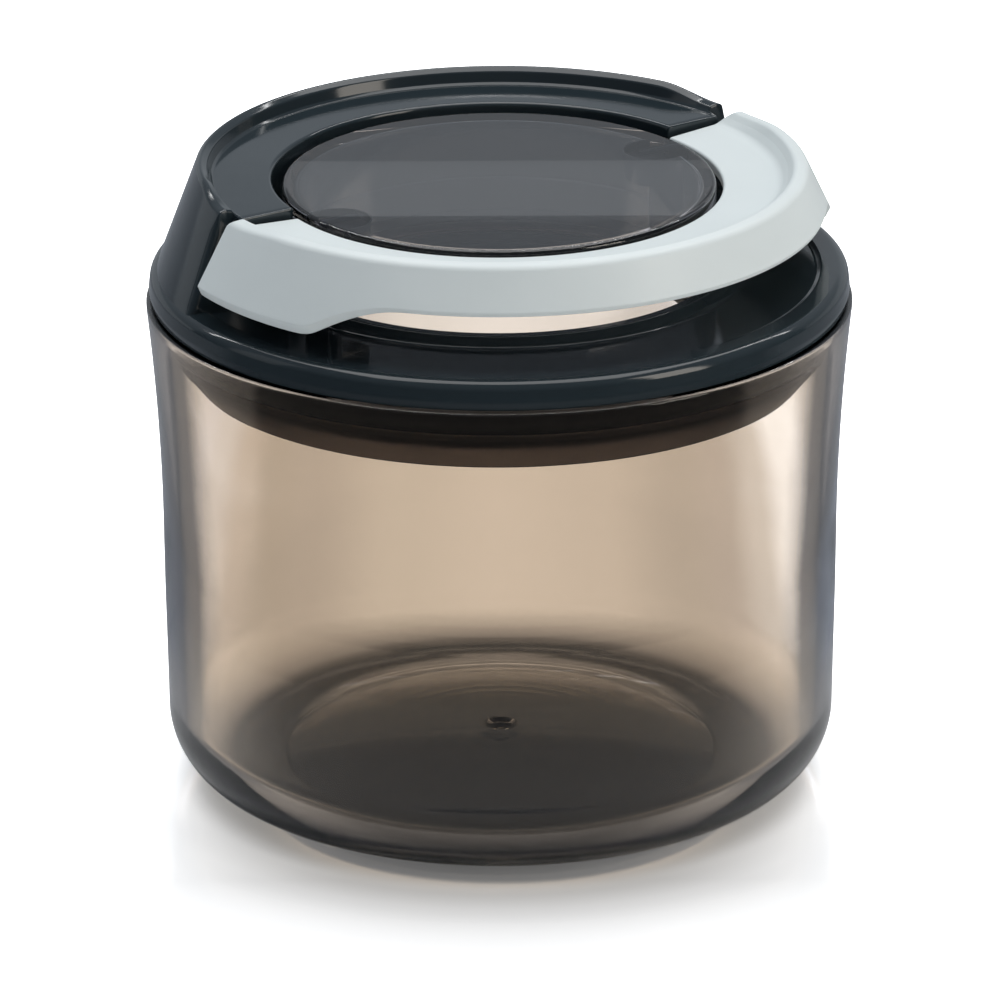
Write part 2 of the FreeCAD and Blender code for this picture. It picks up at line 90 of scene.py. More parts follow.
def split_plan(pts, closed=True, near=0.10, longest=4.0):
    """Where each straight run of an outline gets extra points, as shares of the run."""
    plan = []
    n = len(pts)
    for i in range(n if closed else n - 1):
        a, b = np.array(pts[i], float), np.array(pts[(i + 1) % n], float)
        length = float(np.linalg.norm(b - a))
        stops = []
        if length > 0.7:
            inner = length - 2 * near
            k = max(1, int(math.ceil(inner / longest)))
            stops = [near] + [near + inner * j / k for j in range(1, k)] + [length - near]
            stops = [s / length for s in stops]
        plan.append(stops)
    return plan


def split(pts, plan, closed=True):
    out = []
    n = len(pts)
    for i, stops in enumerate(plan):
        a, b = np.array(pts[i], float), np.array(pts[(i + 1) % n], float)
        out.append(tuple(a))
        out += [tuple(a + (b - a) * s) for s in stops]
    if not closed:
        out.append(tuple(pts[-1]))
    return out


def supported(pts, closed=True, longest=4.0):
    return split(pts, split_plan(pts, closed, longest=longest), closed)


def arc(c, r, a0, a1, n):
    return [(c[0] + r * math.cos(math.radians(a0 + (a1 - a0) * k / n)),
             c[1] + r * math.sin(math.radians(a0 + (a1 - a0) * k / n))) for k in range(n + 1)]


def smooth(a, b, x):
    t = max(0.0, min(1.0, (x - a) / (b - a)))
    return t * t * (3 - 2 * t)


# ----------------------------------------------------------------------------
# meshes
# ----------------------------------------------------------------------------


def make(name, verts, faces):
    me = bpy.data.meshes.new(name)
    me.from_pydata([tuple(map(float, v)) for v in verts], [], faces)
    me.validate()
    ob = bpy.data.objects.new(name, me)
    bpy.context.scene.collection.objects.link(ob)
    bm = bmesh.new()
    bm.from_mesh(me)
    bmesh.ops.remove_doubles(bm, verts=bm.verts, dist=1e-5)
    bmesh.ops.recalc_face_normals(bm, faces=bm.faces)
    bm.to_mesh(me)
    bm.free()
    return ob


def turned(name, pts, closed, seg=SEG):
    """Turns an outline about Z. An open outline starts and ends on the axis."""
    verts, faces, rings = [], [], []
    for r, z in pts:
        if r < 1e-6:
            rings.append([len(verts)])
            verts.append((0.0, 0.0, z))
        else:
            rings.append(list(range(len(verts), len(verts) + seg)))
            for k in range(seg):
                t = 2 * math.pi * k / seg
                verts.append((r * math.cos(t), r * math.sin(t), z))
    n = len(pts)
    for i in range(n if closed else n - 1):
        a, b = rings[i], rings[(i + 1) % n]
        for k in range(seg):
            m = (k + 1) % seg
            if len(a) == 1 and len(b) == 1:
                continue
            if len(a) == 1:
                faces.append((a[0], b[k], b[m]))
            elif len(b) == 1:
                faces.append((a[k], b[0], a[m]))
            else:
                faces.append((a[k], b[k], b[m], a[m]))
    return make(name, verts, faces)


def inward(pts, amount):
    """Moves each point of a closed outline inwards along the outline's normal."""
    p = np.array(pts, float)
    area = 0.5 * np.sum(p[:, 0] * np.roll(p[:, 1], -1) - np.roll(p[:, 0], -1) * p[:, 1])
    e = np.roll(p, -1, 0) - p
    e /= np.maximum(np.linalg.norm(e, axis=1, keepdims=True), 1e-9)
    nrm = np.stack([-e[:, 1], e[:, 0]], 1) * (1 if area > 0 else -1)
    v = nrm + np.roll(nrm, 1, 0)
    v /= np.maximum(np.linalg.norm(v, axis=1, keepdims=True), 1e-9)
    return p + v * np.asarray(amount, float)[:, None]


def depth_inside(poly, q):
    """Distance of q from the outline, negative outside."""
    a, b = poly, np.roll(poly, -1, 0)
    ab = b - a
    t = np.clip(np.sum((q - a) * ab, 1) / np.maximum(np.sum(ab * ab, 1), 1e-12), 0, 1)
    near = float(np.min(np.linalg.norm(a + ab * t[:, None] - q, axis=1)))
    cross = (a[:, 1] > q[1]) != (b[:, 1] > q[1])
    x = a[:, 0] + (q[1] - a[:, 1]) * ab[:, 0] / np.where(ab[:, 1] == 0, 1e-12, ab[:, 1])
    return near if np.count_nonzero(cross & (q[0] < x)) % 2 else -near


def swept(name, section, end_y, columns, round_of, facing, rings=6, grid=0.6, marks=()):
    """Sweeps a closed section round the axis between its two ends. facing -1 keeps the
    side of -Y, +1 the side of +Y. section(y) is the outline where the outer wall stands
    at that y, end_y(r, z, r0, z0) where the end lies at (r, z), a point that was at
    (r0, z0) before the end's rounding, and round_of(r, z) that rounding's radius."""
    verts, loops, outlines = [], [], []
    plan = [(-1.0, k) for k in range(rings, -1, -1)]
    plan += [(-1.0 + 2.0 * k / columns, 0) for k in range(1, columns)]
    plan += [(1.0, k) for k in range(rings + 1)]
    for share, k in plan:
        t = math.radians(90.0 * k / rings)

        def angle(r, z, r0, z0, radius):
            back = radius * (1 - math.sin(t))
            reach = end_y(r, z, r0, z0) + (back if facing > 0 else -back)
            lift = math.asin(max(-0.999, min(0.999, reach / r)))
            if facing < 0:
                return -math.pi / 2 + share * (math.pi / 2 + lift)
            return math.pi / 2 + share * (math.pi / 2 - lift)

        wall = 57.0 * math.sin(angle(57.0, 101.0, 57.0, 101.0, 0.45))
        start = np.array(section(wall), float)
        radii = np.array([round_of(r, z) for r, z in start])
        pts = inward(start, radii * (1 - math.cos(t))) if k else start
        loop = []
        for (r, z), (r0, z0), radius in zip(pts, start, radii):
            a = angle(r, z, r0, z0, radius)
            loop.append(len(verts))
            verts.append((r * math.cos(a), r * math.sin(a), z))
        loops.append(loop)
        outlines.append(pts)
    faces = []
    m = len(loops[0])
    for a, b in zip(loops[:-1], loops[1:]):
        for i in range(m):
            j = (i + 1) % m
            faces.append((a[i], b[i], b[j], a[j]))
    # each end is filled over a net of points, so that it follows its own curve
    for at, sign in ((0, facing), (-1, -facing)):
        poly = outlines[at]
        lo, hi = poly.min(0), poly.max(0)
        net = [np.array((r, z)) for r in np.arange(lo[0] + 0.3 * grid, hi[0], grid)
               for z in np.arange(lo[1] + 0.3 * grid, hi[1], grid)]
        marked = [np.array(q) for q in marks if depth_inside(poly, np.array(q)) > 0.02]
        keep = []
        for q in net:
            if depth_inside(poly, q) < 0.4 * grid:
                continue
            if marked and min(float(np.linalg.norm(q - w)) for w in marked) < 0.35 * grid:
                continue
            keep.append(q)
        inner = keep + marked
        co = [Vector((float(r), float(z))) for r, z in list(poly) + inner]
        found = delaunay_2d_cdt(co, [], [list(range(m))], 1, 1e-6)
        index = []
        for v, source in zip(found[0], found[3]):
            if source and source[0] < m:
                index.append(loops[at][source[0]])
                continue
            y = end_y(v[0], v[1], v[0], v[1])
            index.append(len(verts))
            verts.append((sign * math.sqrt(v[0] ** 2 - y ** 2), y, v[1]))
        faces += [tuple(index[i] for i in f) for f in found[2]]
    return make(name, verts, faces)


def rod(name, radius, x0, x1, y, z, bevel=0.0, seg=64):
    """Round bar along X with chamfered ends."""
    sign = 1 if x1 > x0 else -1
    stations = [(x0, radius - bevel)]
    if bevel:
        stations += [(x0 + sign * bevel * 0.3, radius - bevel * 0.3), (x0 + sign * bevel, radius)]
        stations += [(x1 - sign * bevel, radius), (x1 - sign * bevel * 0.3, radius - bevel * 0.3)]
    stations += [(x1, radius - bevel)]
    verts, faces = [], []
    for x, r in stations:
        for k in range(seg):
            t = 2 * math.pi * k / seg
            verts.append((x, y + r * math.cos(t), z + r * math.sin(t)))
    for i in range(len(stations) - 1):
        for k in range(seg):
            m = (k + 1) % seg
            faces.append((i * seg + k, i * seg + m, (i + 1) * seg + m, (i + 1) * seg + k))
    faces.append(tuple(range(seg)))
    faces.append(tuple(reversed(range((len(stations) - 1) * seg, len(stations) * seg))))
    return make(name, verts, faces)


def post(name, radius, x, y, z0, z1, bevel, seg=96):
    pts = rounded([(0, z0), (radius, z0, bevel, 5), (radius, z1, 0, 1), (0, z1)], closed=False)
    ob = turned(name, pts, False, seg)
    ob.data.transform(Matrix.Translation((x, y, 0)))
    return ob


def block(name, lo, hi):
    verts = [(x, y, z) for x in (lo[0], hi[0]) for y in (lo[1], hi[1]) for z in (lo[2], hi[2])]
    faces = [(0, 1, 3, 2), (4, 6, 7, 5), (0, 4, 5, 1), (2, 3, 7, 6), (0, 2, 6, 4), (1, 5, 7, 3)]
    return make(name, verts, faces)


def boolean(ob, tool, op):
    m = ob.modifiers.new("cut", "BOOLEAN")
    m.operation = op
    m.solver = "MANIFOLD"
    m.object = tool
    bpy.context.view_layer.update()
    dg = bpy.context.evaluated_depsgraph_get()
    me = bpy.data.meshes.new_from_object(ob.evaluated_get(dg))
    ob.modifiers.clear()
    old = ob.data
    ob.data = me
    me.name = ob.name
    bpy.data.meshes.remove(old)
    drop = tool.data
    bpy.data.objects.remove(tool)
    bpy.data.meshes.remove(drop)
    return ob


def finish_mesh(ob, sharp_deg=32.0):
    """Smooth shading with sharp edges kept, then metres."""
    bm = bmesh.new()
    bm.from_mesh(ob.data)
    bmesh.ops.remove_doubles(bm, verts=bm.verts, dist=2e-4)
    bmesh.ops.dissolve_degenerate(bm, edges=bm.edges, dist=1e-4)
    bm.normal_update()
    for f in bm.faces:
        f.smooth = True
    for e in bm.edges:
        if len(e.link_faces) == 2:
            e.smooth = e.calc_face_angle(0.0) < math.radians(sharp_deg)
    bm.to_mesh(ob.data)
    bm.free()
    ob.data.transform(Matrix.Scale(MM, 4))
    ob.data.update()
    return ob


def place(ob, body, node, material):
    ob.data.materials.clear()
    ob.data.materials.append(material)
    if isinstance(body, str):
        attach(ob, body)
    else:
        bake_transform(ob)
    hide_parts(node)
    return ob


# ----------------------------------------------------------------------------
# materials
# ----------------------------------------------------------------------------


def new_material(name):
    mat = bpy.data.materials.new(name)
    mat.use_nodes = True
    nt = mat.node_tree
    nt.nodes.clear()
    out = nt.nodes.new("ShaderNodeOutputMaterial")
    bsdf = nt.nodes.new("ShaderNodeBsdfPrincipled")
    nt.links.new(bsdf.outputs["BSDF"], out.inputs["Surface"])
    return mat, nt, bsdf, out


def coords(nt, scale=(1, 1, 1)):
    tc = nt.nodes.new("ShaderNodeTexCoord")
    mp = nt.nodes.new("ShaderNodeMapping")
    mp.inputs["Scale"].default_value = scale
    nt.links.new(tc.outputs["Object"], mp.inputs["Vector"])
    return mp.outputs["Vector"]


def noise(nt, vec, scale, detail=4.0, rough=0.55):
    n = nt.nodes.new("ShaderNodeTexNoise")
    n.inputs["Scale"].default_value = scale
    n.inputs["Detail"].default_value = detail
    n.inputs["Roughness"].default_value = rough
    nt.links.new(vec, n.inputs["Vector"])
    return n.outputs["Fac"]


def remap(nt, value, lo, hi, from_lo=0.3, from_hi=0.7):
    m = nt.nodes.new("ShaderNodeMapRange")
    m.inputs["From Min"].default_value = from_lo
    m.inputs["From Max"].default_value = from_hi
    m.inputs["To Min"].default_value = lo
    m.inputs["To Max"].default_value = hi
    nt.links.new(value, m.inputs["Value"])
    return m.outputs["Result"]


def ramp(nt, value, stops):
    r = nt.nodes.new("ShaderNodeValToRGB")
    el = r.color_ramp.elements
    el[0].position, el[0].color = stops[0][0], (*stops[0][1], 1)
    el[1].position, el[1].color = stops[-1][0], (*stops[-1][1], 1)
    for pos, col in stops[1:-1]:
        e = el.new(pos)
        e.color = (*col, 1)
    nt.links.new(value, r.inputs["Fac"])
    return r.outputs["Color"]


def mixed(nt, fac, a, b):
    m = nt.nodes.new("ShaderNodeMix")
    m.data_type = "RGBA"
    nt.links.new(fac, m.inputs[0])
    for value, socket in ((a, m.inputs[6]), (b, m.inputs[7])):
        if isinstance(value, tuple):
            socket.default_value = (*value, 1)
        else:
            nt.links.new(value, socket)
    return m.outputs[2]


def bump(nt, height, strength, distance, normal=None):
    b = nt.nodes.new("ShaderNodeBump")
    b.inputs["Strength"].default_value = strength
    b.inputs["Distance"].default_value = distance
    nt.links.new(height, b.inputs["Height"])
    if normal is not None:
        nt.links.new(normal, b.inputs["Normal"])
    return b.outputs["Normal"]


def clear_plastic(name, tint_lo, tint_hi, rough, ior, absorb_colour, absorb_density, wave,
                  edge=None, edge_span=(0.5, 0.8), gloss=1.0, top=None, lug=None):
    """Tinted see-through plastic. edge is a painted shade on upright walls seen along their length, top
    the tint of the window's sheet and lug a painted dark shade on the two thick lugs under it."""
    mat, nt, b, out = new_material(name)
    vec = coords(nt)
    broad = noise(nt, vec, 14.0, 2.0)
    tint = ramp(nt, broad, [(0.3, tint_lo), (0.7, tint_hi)])
    if edge:
        # painted shade: upright walls seen at a glancing angle are darkened towards the edge colour
        grazing = nt.nodes.new("ShaderNodeFresnel")
        grazing.inputs["IOR"].default_value = 1.5
        # upright walls only: the floor and the foot keep their own tint
        geo = nt.nodes.new("ShaderNodeNewGeometry")
        facing = nt.nodes.new("ShaderNodeSeparateXYZ")
        nt.links.new(geo.outputs["Normal"], facing.inputs["Vector"])
        steep = nt.nodes.new("ShaderNodeMath")
        steep.operation = "ABSOLUTE"
        nt.links.new(facing.outputs["Z"], steep.inputs[0])
        edge_shade_mask = nt.nodes.new("ShaderNodeMath")
        edge_shade_mask.operation = "MULTIPLY"
        nt.links.new(remap(nt, grazing.outputs["Fac"], 0.0, 1.0, *edge_span), edge_shade_mask.inputs[0])
        nt.links.new(remap(nt, steep.outputs[0], 1.0, 0.0, 0.30, 0.65), edge_shade_mask.inputs[1])
        tint = mixed(nt, edge_shade_mask.outputs[0], tint, edge)
    if top:
        xyz = nt.nodes.new("ShaderNodeSeparateXYZ")
        nt.links.new(vec, xyz.inputs["Vector"])
        tint = mixed(nt, remap(nt, xyz.outputs["Z"], 0.0, 1.0, 0.1045, 0.1062), tint, top)
    if lug:
        # painted shade: the two lugs are darkened to the lug colour and let less light through
        wide = nt.nodes.new("ShaderNodeMath")
        wide.operation = "ABSOLUTE"
        nt.links.new(xyz.outputs["X"], wide.inputs[0])
        spot = nt.nodes.new("ShaderNodeCombineXYZ")
        nt.links.new(wide.outputs[0], spot.inputs["X"])
        nt.links.new(xyz.outputs["Y"], spot.inputs["Y"])
        reach = nt.nodes.new("ShaderNodeVectorMath")
        reach.operation = "DISTANCE"
        reach.inputs[1].default_value = (0.0334, 0.0, 0.0)
        nt.links.new(spot.outputs["Vector"], reach.inputs[0])
        lug_shade_mask = nt.nodes.new("ShaderNodeMath")
        lug_shade_mask.operation = "MULTIPLY"
        nt.links.new(remap(nt, reach.outputs["Value"], 1.0, 0.0, 0.0056, 0.0062), lug_shade_mask.inputs[0])
        nt.links.new(remap(nt, xyz.outputs["Z"], 1.0, 0.0, 0.1078, 0.1082), lug_shade_mask.inputs[1])
        tint = mixed(nt, lug_shade_mask.outputs[0], tint, lug)
        nt.links.new(remap(nt, lug_shade_mask.outputs[0], 1.0, 0.3, 0.0, 1.0), b.inputs["Transmission Weight"])
    nt.links.new(tint, b.inputs["Base Color"])
    smear = noise(nt, coords(nt, (1, 1, 0.35)), 60.0, 4.0, 0.55)
    nt.links.new(remap(nt, smear, rough[0], rough[1]), b.inputs["Roughness"])
    b.inputs["IOR"].default_value = ior
    b.inputs["Transmission Weight"].default_value = 1.0
    b.inputs["Specular Tint"].default_value = (gloss, gloss, gloss, 1)
    nt.links.new(bump(nt, noise(nt, coords(nt, (1, 1, 0.4)), 16.0, 1.0), wave, 0.0005),
                 b.inputs["Normal"])
    vol = nt.nodes.new("ShaderNodeVolumeAbsorption")
    vol.inputs["Color"].default_value = (*absorb_colour, 1)
    vol.inputs["Density"].default_value = absorb_density
    nt.links.new(vol.outputs["Volume"], out.inputs["Volume"])
    return mat


def moulded(name, colour_lo, colour_hi, rough, grain_scale, grain_strength, spec, wave=0.0):
    mat, nt, b, out = new_material(name)
    vec = coords(nt)
    cloud = noise(nt, vec, 35.0, 5.0)
    nt.links.new(ramp(nt, cloud, [(0.3, colour_lo), (0.7, colour_hi)]), b.inputs["Base Color"])
    smudge = noise(nt, coords(nt, (1, 0.6, 1)), 90.0, 7.0, 0.65)
    nt.links.new(remap(nt, smudge, rough[0], rough[1]), b.inputs["Roughness"])
    b.inputs["Specular IOR Level"].default_value = spec
    normal = bump(nt, noise(nt, vec, grain_scale, 3.0), grain_strength, 0.0001)
    if wave:
        normal = bump(nt, noise(nt, vec, 18.0, 2.0), wave, 0.0006, normal)
    nt.links.new(normal, b.inputs["Normal"])
    return mat


def brushed_steel(name):
    mat, nt, b, out = new_material(name)
    line = noise(nt, coords(nt, (12, 1, 1)), 900.0, 4.0)
    nt.links.new(ramp(nt, line, [(0.3, (0.48, 0.48, 0.49)), (0.7, (0.70, 0.70, 0.70))]),
                 b.inputs["Base Color"])
    b.inputs["Metallic"].default_value = 1.0
    nt.links.new(remap(nt, line, 0.18, 0.34), b.inputs["Roughness"])
    nt.links.new(bump(nt, line, 0.15, 0.00005), b.inputs["Normal"])
    return mat


# the colour (0.06, 0.06, 0.062) is a painted shade for jar walls seen at a glancing angle
JAR = clear_plastic("smoke_jar", (0.68, 0.61, 0.52), (0.70, 0.63, 0.54), (0.0, 0.012), 1.50,
                    (0.60, 0.57, 0.55), 36.0, 0.006, (0.06, 0.06, 0.062), (0.11, 0.22), 0.6)
# the cup's lug colour is a painted dark shade on the lugs under the window
CUP = clear_plastic("smoke_clear", (0.94, 0.94, 0.945), (0.965, 0.965, 0.97), (0.0, 0.012), 1.50,
                    (0.5, 0.49, 0.48), 24.0, 0.006, top=(0.43, 0.435, 0.455), lug=(0.035, 0.036, 0.048))
PLATE = clear_plastic("smoke_plate", (0.25, 0.215, 0.20), (0.28, 0.24, 0.225), (0.42, 0.55), 1.48,
                      (0.30, 0.26, 0.23), 300.0, 0.02)
BLACK = moulded("black_gloss", (0.0140, 0.0215, 0.0260), (0.0170, 0.0250, 0.0300), (0.07, 0.13),
                2600.0, 0.02, 0.45, wave=0.012)
MINT = moulded("mint_grey", (0.60, 0.65, 0.65), (0.63, 0.68, 0.68), (0.36, 0.46), 3400.0, 0.06,
               0.40)
SILICONE = moulded("dark_silicone", (0.0055, 0.0085, 0.014), (0.0085, 0.012, 0.019), (0.35, 0.5),
                   2200.0, 0.035, 0.30)
STEEL = brushed_steel("pin_steel")

# ----------------------------------------------------------------------------
# jar
# ----------------------------------------------------------------------------


def under(r):
    return 1.0 + 3.2 * (1 - (r / 37.8) ** 2)


def dome(r):
    return 4.4 + 3.18 * (1 - (r / 39.0) ** 2)


outline = [(0.0, under(0.0))] + [(float(r), under(r)) for r in range(3, 36, 3)]
outline += rounded([(33.0, under(33.0)), (37.55, 1.0, 0.5, 6), (38.45, 0.0, 0.35, 5), (46.5, 0.0)],
                   closed=False)[1:-1]
outline += [(42.0, 0.0), (45.4, 0.0)]
outline += arc((46.5, 12.6), 12.6, -90.0, 0.0, 40)
flare = []
for k in range(0, 25):
    z = 43.3 + (87.0 - 43.3) * k / 24.0
    flare.append((59.6 + 2.38 * ((z - 43.3) / 43.7) ** 2, z))
outline += [(59.3, 24.0), (59.5, 34.0)] + flare
outline += rounded([(61.98, 86.6), (62.03, 88.5, 0.6, 8), (57.6, 88.5, 0.8, 8), (57.57, 84.0)],
                   closed=False)[1:-1]
outline += [(57.45, 84.0), (57.30, 76.0), (57.15, 69.0), (57.0, 62.0), (56.75, 46.0),
            (56.5, 30.0), (56.32, 18.0)]
outline += arc((46.3, 14.4), 10.0, 0.0, -90.0, 34)
outline += rounded([(44.0, 4.4), (39.1, 4.4, 16.0, 6), (35.0, dome(35.0))], closed=False)
outline += [(float(r), dome(r)) for r in range(32, 4, -3)]
outline += rounded([(5.0, dome(5.0)), (3.07, 7.56, 0.22, 5), (2.3, 6.82), (1.5, 6.38), (0.78, 6.18, 0.1, 3),
                    (0.55, 6.32, 0.08, 3), (0.48, 6.6, 0.12, 4), (0.0, 6.72)], closed=False)
jar = turned("jar_shell", supported(outline, closed=False), False)
place(finish_mesh(jar), "jar_body", "jar", JAR)

# ----------------------------------------------------------------------------
# lid cover: ring all round, hood behind
# ----------------------------------------------------------------------------
ring = rounded([
    (38.9, 89.0, 0.3, 3), (43.5, 89.0, 0.2, 3), (43.5, 91.2, 0.3, 3), (55.4, 91.2, 0.3, 3),
    (55.4, 89.0, 0.2, 3), (57.1, 89.0, 0.2, 3), (57.1, 91.0, 0.2, 3), (58.6, 91.0, 0.2, 3),
    (58.8, 88.75, 0.2, 3), (61.1, 88.75, 0.3, 5), (61.55, 90.5, 1.6, 6), (61.15, 93.95, 3.2, 18),
    (56.5, 94.0, 0.6, 8), (55.6, 93.4, 0.7, 6), (43.0, 93.4, 2.6, 10),
    (41.2, 95.1, 0.7, 8), (38.9, 95.1, 0.7, 8)])
cover = turned("lid_cover_shell", supported(ring), True)


def cone(z):
    return 53.45 + (111.6 - z) * 0.376


def hood_points(y):
    # the raised rim sinks towards its two ends
    up = 0.32 + 0.68 * smooth(9.0, 21.0, y)
    return rounded([
        (39.7, 89.9, 0.6, 4), (59.2, 89.9, 0.6, 4), (cone(91.7) - 0.02, 91.7, 0.6, 4),
        (cone(110.9 + 2.0 * up), 110.9 + 2.0 * up, 1.1, 8), (52.2, 110.9 + 2.65 * up, 0.7, 8),
        (50.95, 110.9 + 1.8 * up, 0.7, 7), (50.45, 110.9, 0.25, 4), (50.0, 110.5, 0.25, 4),
        (39.7, 110.5, 0.65, 8), (39.7, 108.43), (39.7, 108.37)])


hood_plan = split_plan(hood_points(40.0))


def hood_end(r, z, r0, z0):
    # the deck runs on past the cut as a thin tongue
    if z0 > 108.4 and r0 < 50.3:
        return 4.75 + 0.175 * max(0.0, 110.4 - z)
    return 7.4


def hood_round(r, z):
    if r > cone(z) - 0.25 and z < 112.6:
        return 0.4 + 1.0 * smooth(92.6, 95.5, z) * (1 - smooth(109.0, 111.2, z))
    return 0.4


step_marks = [(r, 108.4 + dz) for r in np.arange(39.9, 50.3, 0.3) for dz in (-0.03, 0.03)]
step_marks += [(50.3 + dr, z) for z in np.arange(108.5, 111.0, 0.3) for dr in (-0.03, 0.03)]
hood = swept("hood", lambda y: split(hood_points(y), hood_plan), hood_end, 120, hood_round, +1,
             grid=0.8, marks=step_marks)
boolean(cover, hood, "UNION")
for side in (-1, 1):
    lo, hi = sorted((side * 39.8, side * 44.8))
    pad = block("pad", (lo, -5.0, 92.9), (hi, 7.9, 95.6))
    bm = bmesh.new()
    bm.from_mesh(pad.data)
    bmesh.ops.bevel(bm, geom=list(bm.edges), offset=0.5, segments=3, affect="EDGES", profile=0.5)
    bm.to_mesh(pad.data)
    bm.free()
    boolean(cover, pad, "UNION")
place(finish_mesh(cover), "lid_body", "lid_cover", BLACK)

base = turned("lid_base_ring_shell", supported(rounded([
    (38.9, 87.05, 0.3, 4), (49.6, 87.05, 0.1, 2), (49.8, 87.2, 0.1, 2), (50.2, 87.2, 0.1, 2),
    (50.4, 87.05, 0.1, 2), (56.9, 87.05, 0.6, 6), (56.9, 88.95, 0.25, 4), (38.9, 88.95, 0.25, 4)])), True)
place(finish_mesh(base), "lid_body", "lid_base_ring", BLACK)

# ----------------------------------------------------------------------------
# silicone ring: set in place in the world, tied to neither the lid nor the plunger
# ----------------------------------------------------------------------------
bulge = [(56.3 + 0.9 * (1 - ((k - 10) / 10.0) ** 2), 83.4 + 3.6 * k / 20.0) for k in range(21)]
seal_line = [(50.7, 83.4), (55.6, 83.4)] + bulge + [(55.6, 87.0), (50.7, 87.0), (50.2, 86.4), (50.2, 84.0)]
seal = turned("seal_ring_soft", supported(seal_line, longest=0.6), True)
place(finish_mesh(seal), ("lid_body", "plunger_body", (0, 0, 0.087), (0, 0, 0.0834)), "seal_ring",
      SILICONE)

# ----------------------------------------------------------------------------
# window cup with its lugs
# ----------------------------------------------------------------------------
cup_line = rounded([
    (0.0, 106.8), (36.0, 106.8, 1.2, 8), (36.0, 83.35, 0.3, 4), (45.0, 83.35, 0.3, 4),
    (45.0, 85.3, 0.4, 4), (38.1, 85.3, 0.8, 6), (38.1, 109.4, 0.9, 8), (0.0, 109.4)], closed=False)
cup = turned("window_cup_shell", supported(cup_line, closed=False), False)
for side in (-1, 1):
    lug = post("lug", 5.6, side * 33.4, 0.0, 101.6, 107.6, 0.5)
    trim = turned("trim", [(0.0, 90.0), (37.2, 90.0), (37.2, 120.0), (0.0, 120.0)], False, SEG)
    boolean(lug, trim, "INTERSECT")
    boolean(cup, lug, "UNION")
for side in (-1, 1):
    boolean(cup, rod("hole", 1.33, side * 29.8, side * 60.0, 0.0, 106.5), "DIFFERENCE")
place(finish_mesh(cup), "plunger_body", "window_cup", CUP)

plate = turned("press_plate_shell", supported(rounded([
    (36.0, 81.05, 0.3, 4), (53.0, 81.05, 0.5, 4), (49.4, 75.8, 0.4, 4), (51.4, 75.8, 0.5, 5),
    (56.4, 82.15, 0.5, 5), (56.4, 83.3, 0.4, 4), (36.0, 83.3, 0.3, 4)])), True)
place(finish_mesh(plate), "plunger_body", "press_plate", PLATE)

for side, node in ((-1, "left_pivot_pin"), (1, "right_pivot_pin")):
    pin = rod(node + "_turned", 1.30, side * 29.83, side * 43.57, 0.0, 106.5, bevel=0.25, seg=48)
    place(finish_mesh(pin), "plunger_body", node, STEEL)

# ----------------------------------------------------------------------------
# flip lever
# ----------------------------------------------------------------------------


def lever_cone(z):
    return 54.45 + (111.0 - z) * 0.47


def lever_edge(y):
    """Height of the outer lower edge where the wall stands at y."""
    if y < -36.4:
        z = 104.95
    elif y < -23.0:
        z = 104.95 - (22.4 - math.sqrt(22.4 ** 2 - (y + 36.4) ** 2))
    else:
        start = 104.95 - (22.4 - math.sqrt(22.4 ** 2 - 13.4 ** 2))
        z = start - 13.4 / math.sqrt(22.4 ** 2 - 13.4 ** 2) * (y + 23.0)
    low = 99.9 + 0.008 * (y + 20.0)
    # soft corner at the tip of the ear
    k = 0.55
    return low + k * math.log1p(math.exp(min(60.0, (z - low) / k)))


def lever_points(y):
    z = lever_edge(y)
    drop = 0.85 + 1.0 * smooth(-36.4, -24.4, y)
    r = lever_cone(z)
    fall = 0.75 * smooth(-9.0, 3.0, y)
    pts = [
        (39.3, 106.55, 0.5, 5), (48.4, 106.8, 1.2, 6), (51.0, 109.5, 1.6, 8),
        (r - 2.3, z + 1.2, 0.8, 5), (r - 2.2, z - drop, 0.45, 5), (r - 0.5 * drop, z - drop, 0.45, 5),
        (r, z, 0.35, 5), (lever_cone(112.0), 112.0, 1.7, 12), (51.75, 112.6, 1.0, 10),
        (50.6, 111.1, 0.8, 6), (49.2, 109.55, 2.2, 8), (39.2, 108.8, 0.5, 6)]
    out = []
    for p in pts:
        down = fall * max(0.0, (p[1] - 109.6) / 2.9) if p[1] > 110.5 else 0.0
        out.append((p[0], p[1] - down, p[2], p[3]))
    return rounded(out)


lever_plan = split_plan(lever_points(-10.0), longest=50.0)
END_Z = [95.0, 99.9, 104.0, 108.4, 109.3, 110.2, 111.0, 111.7, 112.6]
END_Y = [5.2, 4.95, 4.6, 4.15, 3.95, 3.55, 2.95, 2.0, 0.6]


def lever_end(r, z, r0, z0):
    return float(np.interp(z, END_Z, END_Y))


lever = swept("flip_lever_shell", lambda y: split(lever_points(y), lever_plan), lever_end, 220,
              lambda r, z: 0.42, -1, grid=0.5)
for side in (-1, 1):
    lobe = rod("lobe", 6.8, side * 39.4, side * 44.4, 0.0, 103.5, bevel=0.4, seg=96)
    boolean(lobe, block("trim", (-90, -90, 0), (90, 90, 107.4)), "INTERSECT")
    boolean(lever, lobe, "UNION")
for side in (-1, 1):
    boolean(lever, rod("hole", 1.35, side * 10.0, side * 43.9, 0.0, 106.5), "DIFFERENCE")
place(finish_mesh(lever), "lever_body", "flip_lever", MINT)

# ----------------------------------------------------------------------------
# stage, light and camera
# ----------------------------------------------------------------------------
AZ = 33.7                       # turn of the object against the camera
ELEV = 19.5
DIST = 1612.0
LENS = 36.0 * 5.69 * DIST / 1000.0
az = math.radians(-90.0 - AZ)
away = Vector((math.cos(az), math.sin(az), 0.0))      # from the object to the camera
side = Vector((-away.y, away.x, 0.0))                 # to the camera's right

